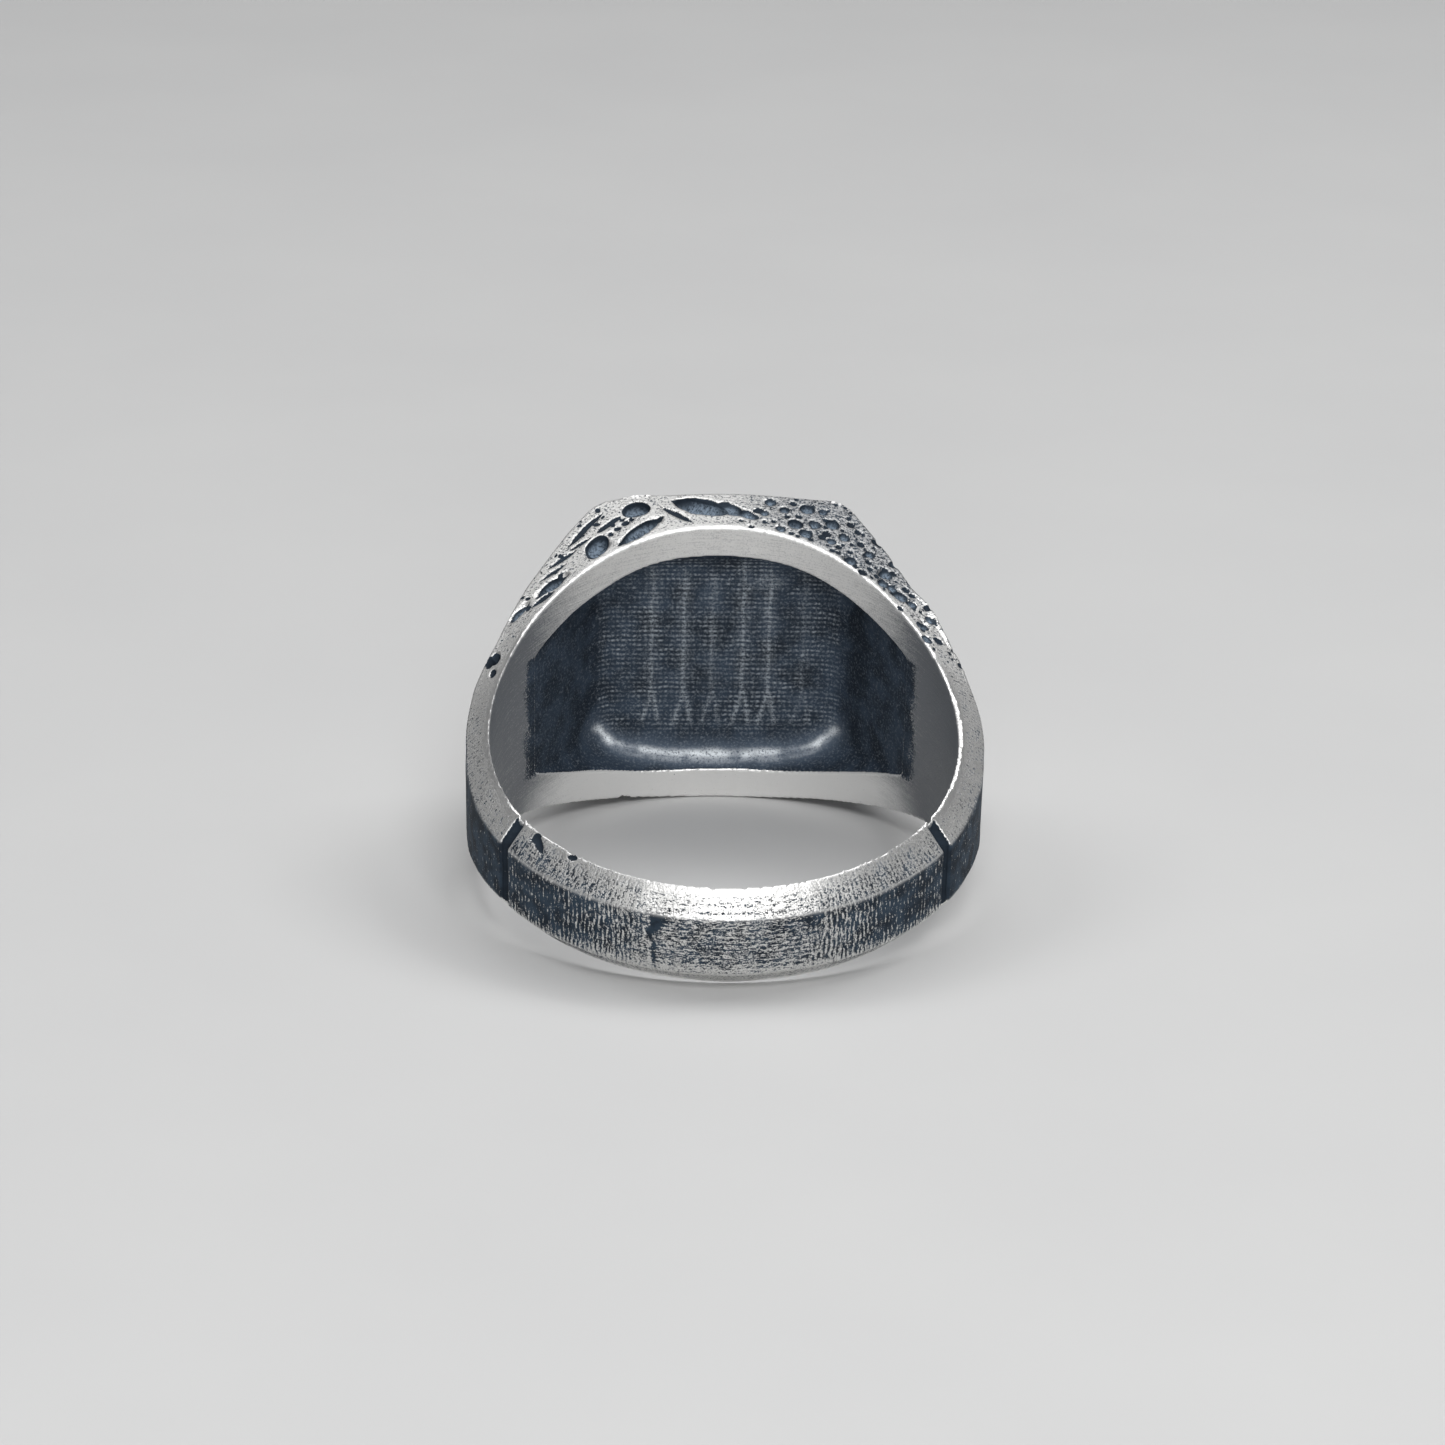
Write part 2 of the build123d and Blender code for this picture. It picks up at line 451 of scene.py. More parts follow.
# tries, where, smallest and largest size, depth as a share of the size, taper and stretch
STREWN = (
    (52, gouged_shell, (0.5, 1.3), 0.2, 0, 1.1),
    (40, gouged_shell, (0.25, 0.6), 0.28, 1, 3.4),
    (230, pitted_shell, (0.2, 0.6), 0.19, 0, 1),
    (14, lower_flank & gouged_side, (0.5, 1.1), 0.2, 0, 1.1),
    (14, lower_flank & gouged_side, (0.3, 0.6), 0.28, 1, 3.2),
    (90, lower_flank & ~gouged_side, (0.2, 0.65), 0.3, 0, 1),
    (70, upper_flank & (U > 3), (0.16, 0.3), 0.26, 0, 1),
    (16, upper_flank & (U < -5), (0.14, 0.26), 0.2, 0, 1.4),
)
for row in STREWN:
    strew(*row)

# a notch (cut twice) and a pinhole where the left shoulder was joined:
# u, v, how far they face along u, length, width and depth
BITES = (
    (-9.75, 4.5, -0.3, 0.7, 0.46, 0.5),
    (-10.0, 4.48, -0.8, 0.55, 0.46, 0.5),
    (-9.85, 3.6, -0.3, 0.42, 0.32, 0.3),
)
bites = np.zeros(len(P))
for u, v, facing_u, length, width, depth in BITES:
    middle = np.array((u, v, flank_height(u, v)))
    facing = (facing_u, 0, math.sqrt(1 - facing_u**2))
    carving.cut(middle, facing, (0, 1, 0), length, width, depth, 0, 0.04)
    reach = np.linalg.norm((P - middle) * (1.0, 0.6, 1.0), axis=1)
    bites = np.maximum(bites, step(0.6 * width, 0.46 * width, reach))
# nicks in the shank's bevel: u, v, length, width, turn, depth and taper
NICKS = (
    (-7.75, -6.6, 1.0, 0.26, -68, 0.12, 1),
    (-7.85, -6.35, 0.5, 0.3, -20, 0.1, 1),
    (-6.35, -7.75, 0.5, 0.2, -30, 0.1, 1),
)
for row in NICKS:
    cut_flank(*row)

# the pour of the casting: the head is never quite flat, the shank hardly uneven
swell = lumps(2.6, 3)
ripple = lumps(0.9, 4)
uneven = (
    outside * (0.05 + 0.22 * head) * swell
    + outside * 0.035 * ripple
    + flank * (0.02 + 0.05 * head) * swell
    + hollow * 0.03 * ripple
)
inward = carving.depth - carving.rim - uneven
# humps and dents of the outline: u, v, reach and height
HUMPS = (
    (-5.75, 12.2, 0.75, -0.3),
    (-4.9, 12.7, 0.6, -0.08),
    (-3.5, 12.7, 0.7, 0.13),
    (-1.4, 12.7, 0.9, -0.13),
    (5.2, 12.4, 0.7, 0.1),
    (8.9, 7.4, 0.9, 0.17),
    (9.75, 5.2, 0.5, -0.05),
    (9.3, 6.2, 1.5, 0.11),
    (-9.6, 5.2, 1.5, -0.09),
    (-10.8, 1.5, 3.0, -0.07),
    (10.8, 0.5, 3.0, 0.08),
)
for u, v, reach, height in HUMPS:
    inward -= height * bump_at(u, v, reach) * outside
ring.points -= N * inward[:, None]

# the two dark grooves across the shank
GROOVE_ANGLE = 122.0
GROOVE_DEEPER = 0.14
groove_gap = np.abs(R * np.sin(np.radians(FROM_HEAD - GROOVE_ANGLE)))
groove = step(0.34, 0.2, groove_gap) * step(BORE + 0.05, BORE + 0.25, R) * below_shoulder
ring.points -= N * (groove * GROOVE_DEEPER)[:, None]

# the hollow's lower and upper edges wander, and its corners are run out softly
FLOOR_LIFT = 0.1
CORNER_ROUNDS = 320
edge_wave = 0.22 * lumps(1.7, 21, (1, 0, 0))
near_edge = hollow * step(10.5, 10.0, R) * step(0.3, 0.6, np.abs(N[:, 2]))
ring.points[:, 2] += edge_wave * ring.blur(near_edge, 6) * SIDE
# the hollow's floor is lifted clear of the level at which the plate is cut off
on_floor = hollow * step(0.5, 0.8, -N[:, 1])
ring.points[:, 1] += FLOOR_LIFT * ring.blur(on_floor, 4)
ring.relax_part(CORNER_ROUNDS, 0.5, ring.blur(hollow * step(10.1, 10.5, R), 4))
ring.relax(2, 0.35)

# ---------------------------------------------------------------- wear, patina and painted light

shape = ring.normals()
bend = np.einsum("ij,ij->i", ring.around(ring.points) - ring.points, shape) / VOXEL
bend = ring.blur(bend, 4)
groove_black = step(0.2, 0.6, groove)
# real wear on convex edges; painted highlights and a painted light strip are added to this mask
# below
wear_and_highlight = step(0.015, 0.1, -bend)
sunk = np.maximum(carving.dark, step(0.05, 0.16, bend) * 0.7 * (1 - hollow))
sunk = np.maximum(sunk, groove_black)
sunk = np.maximum(sunk, bites)
wear_and_highlight *= 1 - step(0.7, 0.35, groove_gap) * below_shoulder * (1 - flank)
wear_and_highlight *= 1 - head * off_bore * (0.5 + 0.3 * step(1, 4, U) + 0.2 * step(6, 8, U))
wear_and_highlight *= 1 - step(0.005, 0.03, carving.depth)
# the finger hole's edge is polished all the way round, less at the sides of the shank, and painted
# brighter there as a highlight line
away = np.abs(ARC)
edge_polish_and_highlight = step(0.2, 0.6, np.abs(N[:, 2])) * step(BORE + 0.42, BORE + 0.18, R)
edge_polish_and_highlight *= (1 - hollow) * (1 - 0.7 * step(116, 124, FROM_HEAD) * step(2, 5, away))
wear_and_highlight = np.maximum(wear_and_highlight, edge_polish_and_highlight * (1 - groove_black))
wear_and_highlight *= 1 - bites
# the crest between the shank's bevel and its back is rubbed and painted brighter as a highlight
# line, the hollow's lower rim gets a painted highlight, and the strip of the finger hole under it
# is painted lighter where the lights do not reach it
ridge_wear_and_highlight = ring.blur(step(0.35, 0.6, N_FLANK), 2)
ridge_wear_and_highlight = 4 * ridge_wear_and_highlight * (1 - ridge_wear_and_highlight) * step(100, 124, FROM_HEAD)
# a painted highlight along the hollow's lower rim
painted_lip_highlight = step(0.02, 0.2, ring.blur(hollow, 4)) * (1 - hollow) * wall * (W < 0)
wear_and_highlight = np.maximum(wear_and_highlight, np.maximum(0.7 * ridge_wear_and_highlight * (1 - sunk), 0.9 * painted_lip_highlight))
# painted light: the low strip of the finger hole below the hollow is painted in the polished
# colour
painted_light_strip = wall * step(-3, -5, W) * step(66, 50, FROM_HEAD)
wear_and_highlight = np.maximum(wear_and_highlight, 0.75 * painted_light_strip)

patches = lumps(1.4, 31)
fine_patches = lumps(0.5, 32)
chips = value_noise(P, 0.3, 33)
on_back = step(150, 155, FROM_HEAD)
past_joint = step(GROOVE_ANGLE - 1, GROOVE_ANGLE + 1, FROM_HEAD)
shoulder = step(68, 90, FROM_HEAD) * (1 - past_joint)

# how much of the patina is left, before the fine grain decides where
shank_flank = 0.21 + 0.34 * step(1.5, 6.5, away) - 0.1 * step(4, 7, U)
shank_flank += 0.1 * step(BORE + 0.3, BORE + 0.7, R)
shoulder_flank = 0.34 - 0.06 * step(-2, 2, U)
head_flank = 0.14 + 0.14 * step(0, 4, U)
flank_cover = mixed(shoulder, head_flank, shoulder_flank)
flank_cover = mixed(past_joint, flank_cover, shank_flank)
# patina covers the shoulders' outer faces fully, heavy enough to also serve as painted shade on
# these sideways faces
HEAD_SHELL, SHOULDER_SHELL_AND_SHADE = 0.3, 1.3
outer_cover = mixed(past_joint, HEAD_SHELL, 0.66 + 0.42 * step(3, 8, away))
outer_cover = mixed(shoulder, outer_cover, SHOULDER_SHELL_AND_SHADE)
outer_cover -= 0.8 * step(-0.6, -1.9, W) * step(30, 12, away) * past_joint
cover = flank * flank_cover + (1 - flank) * outside * outer_cover
cover += 0.14 * patches + 0.16 * fine_patches

# an old scratch across the back: a bright edge with patina caught behind it
scratch_at = -3.17 - 0.12 * W + 0.3 * lumps(0.3, 34, (0, 0, 1))
behind = U - scratch_at
caught = 0.19 + 0.66 * step(0.0, 1.1, W) * (0.4 + chips)
on_scratch = on_back * step(0.6, 0.9, outside) * (1 - step(0.15, 0.4, N_FLANK))
cover += 0.6 * on_scratch * step(0, 0.06, behind) * step(caught, caught * 0.6, behind)
cover -= 0.56 * on_scratch * step(-0.2, -0.08, behind) * step(0.02, -0.02, behind) * chips
# darker chips of patina on the back's upper edge and on the bevel: u, v, w and reach
CHIPS = ((3.4, -10.3, 1.15, 0.45), (2.4, -10.5, 0.9, 0.35), (-3.9, -9.5, 2.2, 0.4))
for u, v, w, reach in CHIPS:
    gap = np.linalg.norm((P - (u, v, w)) * (0.7, 1, 1), axis=1)
    cover += 0.3 * step(reach, reach * 0.5, gap + 0.5 * (chips - 0.5))
cover -= (0.3 - 0.18 * past_joint) * flank * step(BORE + 0.28, BORE + 0.12, R)
CLEAN = -0.6  # a cover so low that the grain never shows
cover = np.where(wall, CLEAN, cover)
cover = ring.blur(cover, 2)

# the grey film over the bare silver, heavier low in the finger hole's sides
film = 0.06 + 0.75 * head * flank * step(-1, 4, U) * step(60, 40, FROM_HEAD)
film -= 0.2 * flank * step(35, 55, FROM_HEAD)
film += 0.2 * flank * past_joint * step(4, 1, away)
film -= 0.3 * flank * past_joint * step(4, 7, U)
wall_film = 1.05 * step(30, 62, FROM_HEAD) * step(2, -2, U)
wall_film += 1.2 * step(35, 66, FROM_HEAD) * step(-2, 2, U)
# the negative term thins the film on the low strip below the hollow: painted light
wall_film += 0.04 * step(1, 3, W) - 0.4 * step(-3, -5, W) * step(60, 40, FROM_HEAD)
film = np.where(wall, wall_film, film)
film = ring.blur(film, 6)

# the black of the hollow has run a little way onto the finger hole's wall at both ends
end_angle = FROM_HEAD[in_hollow].max()
past_end = np.radians(FROM_HEAD - end_angle) * BORE
end_half = np.abs(W[in_hollow & (FROM_HEAD > end_angle - 2)]).max()
beside_end = np.abs(W) - end_half
ragged_end = 0.5 * lumps(0.7, 51) + 0.3 * lumps(0.25, 52)
run_out = step(1.3, 0.0, past_end + ragged_end)
run_out *= step(0.05, -0.25, beside_end + 0.3 * ragged_end)
run_out *= wall * step(-3, -0.5, past_end)
run_out = ring.blur(run_out, 2)

# the floor of the hollow has rows of tool marks, columns where the tool ran over, each
# with its u and strength, and splayed feet under them
COLUMNS = ((-2.93, 0.8), (-1.5, 1.0), (-0.25, 0.55), (1.1, 0.9), (2.25, 1.0), (3.77, 0.35))
COLUMN_FOOT = -1.9
columns = np.zeros(len(P))
lean = 0.1 * lumps(1.2, 61, (0, 0, 1))
for u, strength in COLUMNS:
    aside = np.abs(U - u - lean)
    spread = 0.36 * np.clip((COLUMN_FOOT - W) / 1.7, 0, 1.15)
    foot = step(COLUMN_FOOT - 2.1, COLUMN_FOOT - 1.6, W)
    line = step(0.14, 0.02, np.abs(aside - spread)) * foot
    columns = np.maximum(columns, strength * line)
    columns = np.maximum(columns, 0.22 * strength * step(0.5, 0.1, aside) * step(-2, -1, W))
columns *= step(5.0, 3.9, W + 1.2 * lumps(0.8, 62, (1, 0, 0)))
# and a smear at the top of one of them
smear_gap = np.hypot(U - 2.2, 1.6 * (W - 3.8))
columns = np.maximum(columns, 0.55 * step(0.95, 0.3, smear_gap))
columns *= on_floor

# solder left bare in patches where it has run into the hollow's lower corner, painted near white
# as the highlight that corner catches; the corner is found in bins along u
CORNER_BIN = 0.25
floor_v = V[in_hollow].max()
from_middle = np.abs(U)
corner_bins = np.round(U / CORNER_BIN).astype(int)
bins = np.unique(corner_bins[on_floor > 0.5])
corner_w = [W[(on_floor > 0.5) & (corner_bins == k)].min() for k in bins]
bead_w = np.interp(U, bins * CORNER_BIN, corner_w) + 0.12 + 0.55 * step(4.3, 5.6, from_middle)
bead_gap = np.hypot(V - floor_v + 0.05, W - bead_w + 0.22 * lumps(0.8, 42))
painted_bead_highlight = hollow * step(0.45, 0.06, bead_gap) * step(6.0, 5.2, from_middle) * (W < 0)
painted_bead_highlight *= 0.32 + 0.68 * step(0.25, 0.6, value_noise(P, 0.45, 41))
# a painted glow of lighter blue in the hollow around the painted highlight
painted_glow = hollow * step(1.3, 0.1, bead_gap) * step(7.5, 5.0, from_middle) * (W < 0)

# where the grain is drawn out across the shank or along it, and where the floor is ruled
cross_lines = step(2.2, 4.4, away) * (1 - head) * (1 - 0.5 * flank)
dashes = step(4.4, 2.2, away) * (1 - head)
ruled = on_floor * step(6.3, 5.1, from_middle) * step(-4.9, -3.4, W)

ATTRIBUTES = {
    "ring": P,
    "wrap": np.stack([ARC, W, R], axis=1),
    "cover": cover,
    "sunk": sunk,
    "wear_and_highlight": wear_and_highlight,
    "hollow": ring.blur(hollow, 1),
    "run_out": run_out,
    "film": film,
    "pool": ring.blur(carving.pool * (1 - bites), 1),
    "painted_glow": ring.blur(painted_glow, 4),
    "columns": ring.blur(columns, 1),
    "wall": ring.blur(wall.astype(float), 3),
    "painted_bead_highlight": ring.blur(painted_bead_highlight, 2),
    "lines": np.stack([cross_lines, dashes, ring.blur(ruled, 4)], axis=1),
}


# ---------------------------------------------------------------- cutting into pieces


ON_PLANE = 1e-8  # metres
SHARP_ANGLE = math.radians(50)


def add_attribute(mesh, name, values):
    kind, field = ("FLOAT_VECTOR", "vector") if values.ndim == 2 else ("FLOAT", "value")
    layer = mesh.attributes.new(name, kind, "POINT")
    layer.data.foreach_set(field, values.astype(np.float32).ravel())


def cut_piece(name, chosen, planes):
    """A closed piece of the surface.

    planes are (point, normal), and what lies along the normal is cut away.
    """
    quads = ring.quads[chosen[ring.quads].all(axis=1)]
    used, quads = np.unique(quads, return_inverse=True)
    quads = quads.reshape(-1, 4)
    mesh = bpy.data.meshes.new(name)
    mesh.vertices.add(len(used))
    mesh.vertices.foreach_set("co", to_row(ring.points[used]).ravel())
    mesh.loops.add(quads.size)
    mesh.loops.foreach_set("vertex_index", quads.ravel().astype(np.int32))
    mesh.polygons.add(len(quads))
    mesh.polygons.foreach_set("loop_start", np.arange(0, quads.size, 4, dtype=np.int32))
    mesh.update(calc_edges=True)
    for key, values in ATTRIBUTES.items():
        add_attribute(mesh, key, values[used])
    bm = bmesh.new()
    bm.from_mesh(mesh)
    for point, normal in planes:
        geometry = bm.verts[:] + bm.edges[:] + bm.faces[:]
        cut = bmesh.ops.bisect_plane(
            bm,
            geom=geometry,
            dist=ON_PLANE,
            plane_co=to_row([point])[0],
            plane_no=np.asarray(normal, float) @ AXES,
            clear_outer=True,
        )
        loop = [
            e for e in cut["geom_cut"] if isinstance(e, bmesh.types.BMEdge) and e.is_boundary
        ]
        bmesh.ops.triangle_fill(bm, edges=loop, use_beauty=True, use_dissolve=False)
    bmesh.ops.recalc_face_normals(bm, faces=bm.faces)
    bm.to_mesh(mesh)
    bm.free()
    mesh.polygons.foreach_set("use_smooth", [True] * len(mesh.polygons))
    mesh.set_sharp_from_angle(angle=SHARP_ANGLE)
    piece = bpy.data.objects.new(name, mesh)
    bpy.context.scene.collection.objects.link(piece)
    return piece


# a joint's angle in the ring, its normal that way, and the two points its planes run through
Joint = namedtuple("Joint", "angle way low high")


def find_joint(node):
    """The joint of a solder piece, bounded by two parallel planes."""
    points = node_points(node)
    middle = points.mean(axis=0)
    angle = math.atan2(middle[0], middle[1])
    way = np.array([math.cos(angle), -math.sin(angle), 0.0])
    reach = points @ way
    return Joint(math.degrees(angle), way, way * reach.min(), way * reach.max())


def before(joint):
    """The plane that keeps what comes before the joint."""
    return joint.low, joint.way


def after(joint):
    """The plane that keeps what comes after the joint."""
    return joint.high, -joint.way


MARGIN = 3.0  # degrees


def between(first, last):
    return (PHI > first - MARGIN) & (PHI < last + MARGIN)


JOINT_NODES = (
    "left_shoulder_solder",
    "right_shoulder_solder",
    "left_shank_solder",
    "right_shank_solder",
)
joints = {node: find_joint(node) for node in JOINT_NODES}
left_in, right_in, left_out, right_out = joints.values()

UP = np.array([0.0, 1.0, 0.0])
SHEET_DEEP = 0.11
PLATE_MARGIN = 1.0
plate_low = UP * node_points("face_plate")[:, 1].min()
sheet_low = plate_low - UP * SHEET_DEEP

cuts = {
    node: (
        between(joint.angle, joint.angle),
        [(joint.low, -joint.way), (joint.high, joint.way)],
    )
    for node, joint in joints.items()
}
cuts["right_shoulder"] = (
    between(right_in.angle, right_out.angle),
    [after(right_in), before(right_out)],
)
cuts["left_shoulder"] = (
    between(left_out.angle, left_in.angle),
    [after(left_out), before(left_in)],
)
cuts["shank_back"] = (
    (PHI > right_out.angle - MARGIN) | (PHI < left_out.angle + MARGIN),
    [after(right_out), before(left_out)],
)
cuts["face_plate"] = (V > plate_low[1] - PLATE_MARGIN, [(plate_low, -UP)])
cuts["plate_solder"] = (
    V > sheet_low[1] - PLATE_MARGIN,
    [(plate_low, UP), (sheet_low, -UP)],
)
cuts["head_frame"] = (
    between(left_in.angle, right_in.angle) & (V < sheet_low[1] + PLATE_MARGIN),
    [after(left_in), before(right_in), (sheet_low, UP)],
)
pieces = {
    node: cut_piece(node + "_visual", chosen, planes)
    for node, (chosen, planes) in cuts.items()
}


# ---------------------------------------------------------------- materials


class Graph:
    """A small help for building shader nodes."""

    def __init__(self, material):
        material.use_nodes = True
        self.tree = material.node_tree
        self.tree.nodes.clear()

    def add(self, kind, inputs=(), **settings):
        node = self.tree.nodes.new(kind)
        for name, value in settings.items():
            setattr(node, name, value)
        for name, value in dict(inputs).items():
            self.put(node.inputs[name], value)
        return node

    def put(self, socket, value):
        if isinstance(value, bpy.types.NodeSocket):
            self.tree.links.new(value, socket)
        else:
            socket.default_value = value

    def math(self, operation, *values, clamp=False):
        node = self.add("ShaderNodeMath", operation=operation, use_clamp=clamp)
        for socket, value in zip(node.inputs, values):
            self.put(socket, value)
        return node.outputs[0]

    def attribute(self, name, output="Fac"):
        return self.add("ShaderNodeAttribute", attribute_name=name).outputs[output]

    def noise(self, vector, scale, detail=2.0, roughness=0.5, stretch=None):
        if stretch:
            vector = self.add(
                "ShaderNodeVectorMath", {0: vector, 1: stretch}, operation="MULTIPLY"
            ).outputs[0]
        node = self.add(
            "ShaderNodeTexNoise",
            {"Vector": vector, "Scale": scale, "Detail": detail, "Roughness": roughness},
        )
        return node.outputs[0]

    def between(self, value, low, high):
        """0 at low, 1 at high, smooth."""
        node = self.add(
            "ShaderNodeMapRange",
            {"Value": value, "From Min": low, "From Max": high},
            interpolation_type="SMOOTHSTEP",
        )
        return node.outputs[0]

    def mix(self, share, first, second):
        """Two numbers mixed."""
        node = self.add("ShaderNodeMix", data_type="FLOAT")
        self.put(node.inputs[0], share)
        self.put(node.inputs[2], first)
        self.put(node.inputs[3], second)
        return node.outputs[0]

    def colours(self, share, first, second):
        node = self.add("ShaderNodeMix", data_type="RGBA")
        self.put(node.inputs[0], share)
        self.put(node.inputs[6], first)
        self.put(node.inputs[7], second)
        return node.outputs[2]


SATIN = (0.74, 0.735, 0.72, 1)
# polished silver, used both for real wear and for painted highlights
POLISHED_AND_HIGHLIGHT = (0.93, 0.925, 0.91, 1)
GREY_FILM = (0.2, 0.21, 0.225, 1)
PATINA = (0.014, 0.021, 0.031, 1)
PATINA_BLUE = (0.035, 0.055, 0.08, 1)
# painted sheen on the floors of wide cavities
PAINTED_SHEEN_BLUE = (0.2, 0.255, 0.32, 1)
HOLLOW_DARK = (0.017, 0.025, 0.037, 1)
HOLLOW_BLUE = (0.044, 0.064, 0.094, 1)
# painted glow colour
PAINTED_GLOW_BLUE = (0.13, 0.165, 0.215, 1)
RULE_LIGHT = (0.36, 0.4, 0.44, 1)
# painted highlight colour
PAINTED_HIGHLIGHT_WHITE = (0.9, 0.94, 0.97, 1)


# millimetres from one line to the next: across the shank, along it, and on the hollow's floor
CROSS_PITCH, LAYER_PITCH = 0.2, 0.24
ROW_PITCH, STITCH_PITCH = 0.25, 0.24
BUMP_DEPTH = 0.00004  # metres


def silver(name, extra_cover=0.0, extra_film=0.0):
    """Satin silver with a blue-black patina left in its grain, lines and cavities, with painted
    highlights and sheen.
    """
    material = bpy.data.materials.new(name)
    g = Graph(material)
    place = g.attribute("ring", "Vector")
    wrap = g.attribute("wrap", "Vector")
    cover, sunk, wear_and_highlight = (g.attribute(a) for a in ("cover", "sunk", "wear_and_highlight"))
    hollow, wall, painted_bead_highlight = (g.attribute(a) for a in ("hollow", "wall", "painted_bead_highlight"))
    painted_glow, columns, pool = (g.attribute(a) for a in ("painted_glow", "columns", "pool"))
    lines = g.add("ShaderNodeSeparateXYZ", {0: g.attribute("lines", "Vector")}).outputs
    wrapped = g.add("ShaderNodeSeparateXYZ", {0: wrap}).outputs
    in_ring = g.add("ShaderNodeSeparateXYZ", {0: place}).outputs

    # grain of the patina: even on the head, drawn out into lines on the shank
    grain = g.noise(place, 8.5, 3, 0.6)
    speck = g.noise(place, 15.0, 2, 0.5)
    crossing = g.noise(wrap, 1.0, 2, 0.6, (15.0, 3.2, 3.2))
    along = g.noise(wrap, 1.0, 2, 0.6, (4.6, 15.0, 15.0))
    shank_grain = g.noise(place, 11.5, 3, 0.6)
    texture = g.mix(g.math("ADD", lines[0], lines[1], clamp=True), grain, shank_grain)
    texture = g.mix(g.math("MULTIPLY", lines[0], 0.7), texture, crossing)
    texture = g.mix(g.math("MULTIPLY", lines[1], 0.6), texture, along)
    sway = g.noise(place, 1.2, 2)
    cross_phase = g.math("ADD", wrapped[0], g.math("MULTIPLY", sway, 0.3))
    layer_phase = g.math("ADD", wrapped[1], g.math("MULTIPLY", sway, 0.25))
    cross_wave = g.math("SINE", g.math("MULTIPLY", cross_phase, math.tau / CROSS_PITCH))
    layer_wave = g.math("SINE", g.math("MULTIPLY", layer_phase, math.tau / LAYER_PITCH))
    waves = g.math(
        "ADD",
        g.math("MULTIPLY", cross_wave, lines[0]),
        g.math("MULTIPLY", layer_wave, g.math("MULTIPLY", lines[1], 0.6)),
    )
    texture = g.math("ADD", texture, g.math("MULTIPLY", waves, 0.06))
    texture = g.math("ADD", texture, g.math("MULTIPLY_ADD", speck, 0.35, -0.175))
    texture = g.math("MULTIPLY_ADD", texture, 1.9, -0.45)
    level = g.math(
        "ADD", texture, g.math("MULTIPLY_ADD", cover, 0.5, extra_cover - 0.25)
    )
    tarnish = g.between(level, 0.37, 0.66)
    bare = g.math("SUBTRACT", 1.0, g.math("MULTIPLY", wear_and_highlight, 0.8))
    tarnish = g.math("MULTIPLY", tarnish, bare)
    loose = g.math("MULTIPLY_ADD", speck, 0.7, -0.35)
    deep = g.between(g.math("ADD", sunk, g.math("MULTIPLY", loose, 0.6)), 0.3, 0.6)
    tarnish = g.math("MAXIMUM", tarnish, deep)

    # the hollow is black all over; a tool has left rows of fine marks that catch the light
    wobble = g.noise(place, 1.6, 2)
    row_phase = g.math("ADD", in_ring[2], g.math("MULTIPLY", wobble, 0.2))
    rows = g.math("SINE", g.math("MULTIPLY", row_phase, math.tau / ROW_PITCH))
    rows = g.between(rows, -0.4, 0.9)
    stitch_phase = g.math("ADD", in_ring[0], g.math("MULTIPLY", g.noise(place, 3.5, 2), 0.35))
    stitches = g.math("SINE", g.math("MULTIPLY", stitch_phase, math.tau / STITCH_PITCH))
    stitches = g.math("MULTIPLY_ADD", stitches, 0.42, 0.58)
    marks = g.math("MULTIPLY", rows, stitches)
    broken = g.between(g.noise(place, 1.0, 2, 0.6, (3.2, 1, 3.2)), 0.35, 0.68)
    marks = g.math("MULTIPLY", marks, g.math("MULTIPLY_ADD", broken, 1.0, 0.12))
    faded = g.math("MULTIPLY_ADD", g.between(g.noise(place, 0.55, 1), 0.35, 0.65), 0.4, 0.4)
    marks = g.math("MULTIPLY", marks, g.math("MULTIPLY", faded, lines[2]))
    sparkle = g.math("MULTIPLY", g.between(g.math("ADD", grain, speck), 0.8, 1.15), 0.75)
    rough_columns = g.math("MULTIPLY", columns, g.math("MULTIPLY_ADD", rows, 0.4, sparkle))
    marks = g.math("ADD", marks, g.math("MULTIPLY", rough_columns, 0.85))
    dust = g.math("MULTIPLY", g.between(g.math("MULTIPLY_ADD", loose, 0.6, grain), 0.5, 0.74), 0.3)
    marks = g.math("ADD", marks, dust, clamp=True)

    film_noise = g.noise(place, 2.2, 4, 0.6)
    scratches = g.noise(wrap, 1.0, 3, 0.65, (0.6, 15.0, 1.0))
    filmed = g.math("ADD", g.attribute("film"), extra_film)
    filmed = g.math("ADD", filmed, g.math("MULTIPLY_ADD", film_noise, 0.4, -0.2))
    uneven = g.math("MULTIPLY_ADD", grain, 2.0, -1.0)
    brushed = g.math("MULTIPLY_ADD", scratches, 1.3, -0.65)
    filmed = g.math("ADD", filmed, g.mix(wall, uneven, brushed))
    filmed = g.math("ADD", filmed, g.math("MULTIPLY_ADD", speck, 1.2, -0.6), clamp=True)
    metal = g.colours(filmed, SATIN, GREY_FILM)
    # polished silver where rubbed, and painted highlights, both from the same attribute
    metal = g.colours(g.math("MULTIPLY", wear_and_highlight, 0.7), metal, POLISHED_AND_HIGHLIGHT)
    blackened = g.colours(g.between(g.noise(place, 1.3, 3), 0.35, 0.65), PATINA, PATINA_BLUE)
    # painted sheen on cavity floors
    painted_floor_sheen = g.math("MULTIPLY", pool, g.between(g.math("ADD", grain, loose), 0.2, 0.7))
    blackened = g.colours(g.math("MULTIPLY", sunk, 0.8), blackened, PATINA)
    blackened = g.colours(painted_floor_sheen, blackened, PAINTED_SHEEN_BLUE)
    colour = g.colours(tarnish, metal, blackened)
    black = g.colours(g.between(g.noise(place, 0.7, 3), 0.3, 0.7), HOLLOW_DARK, HOLLOW_BLUE)
